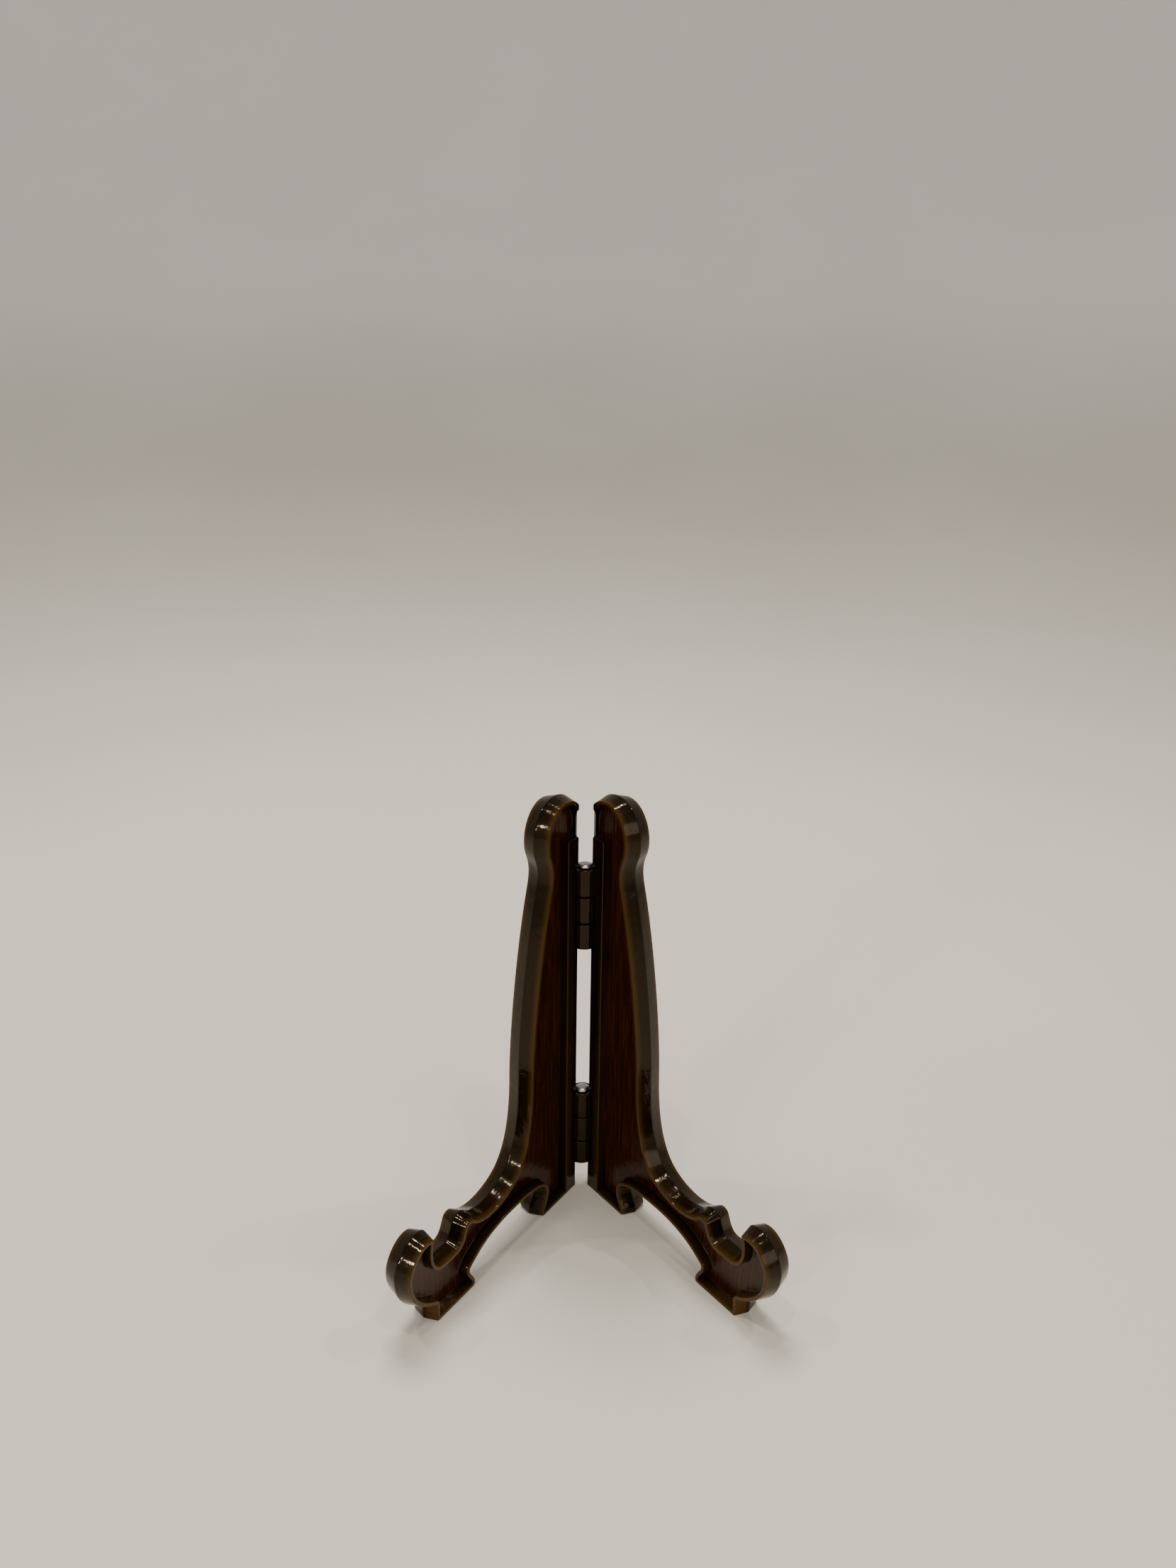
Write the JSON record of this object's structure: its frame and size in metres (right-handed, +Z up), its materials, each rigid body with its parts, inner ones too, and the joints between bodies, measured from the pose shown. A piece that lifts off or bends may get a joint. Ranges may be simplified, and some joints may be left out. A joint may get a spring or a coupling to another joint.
{
  "type": "plate display stand",
  "caption": "Folding stand that holds a dinner plate nearly upright: hooked moulded legs hinged together along the back.",
  "frame": {"origin": "on the surface that the stand rests on, in the middle of the stand's box, with the legs open for display", "axes": "+X to the right, +Y to the back, where the hinge is, +Z up along the hinge axis; the hooks face -Y"},
  "size_m": [0.1008, 0.0664, 0.1257],
  "materials": {
    "brown_plastic": "glossy dark brown moulded plastic, slightly translucent amber at thin edges",
    "pin_steel": "bright drawn wire"
  },
  "bodies": {
    "left_half": {"left_leg": "brown_plastic", "lower_hinge_pin": "pin_steel"},
    "right_half": {"right_leg": "brown_plastic", "upper_hinge_pin": "pin_steel"}
  },
  "joints": [
    {"name": "leg_fold", "type": "hinge", "parent": "left_half", "child": "right_half", "pos_m": [0, 0.02859, 0.0565], "axis": [0, 0, 1], "range_deg": [-70, 110]}
  ]
}
